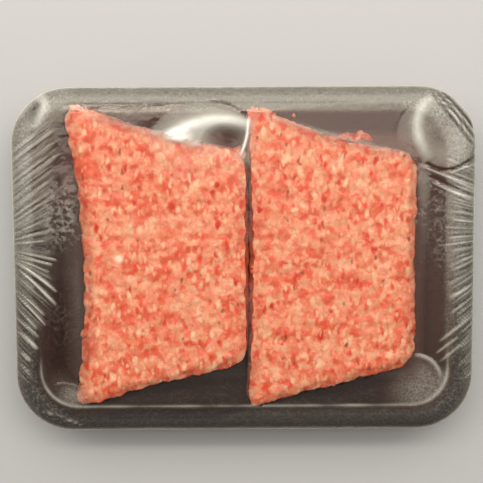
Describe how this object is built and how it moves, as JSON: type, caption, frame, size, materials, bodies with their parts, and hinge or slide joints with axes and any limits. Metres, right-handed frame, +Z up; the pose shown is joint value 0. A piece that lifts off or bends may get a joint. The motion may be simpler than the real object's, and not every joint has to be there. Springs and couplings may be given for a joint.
{
  "type": "meat tray pack",
  "caption": "Black foam tray with round corners and a rolled lip, holding trapezoid slabs of raw sausage mince under clear stretch film.",
  "frame": {"origin": "middle of the pack's underside, on the surface it rests on", "axes": "+X along the tray's long side towards the slabs' short ends, +Y across it towards the upper edge of the picture, +Z up out of the tray"},
  "size_m": [0.1794, 0.1344, 0.0269],
  "materials": {
    "black_foam": "matte",
    "raw_mince": "satin",
    "clear_film": "gloss"
  },
  "bodies": {
    "root": {"tray": "black_foam", "slab_left": "raw_mince", "slab_right": "raw_mince", "film": "clear_film"}
  },
  "joints": []
}
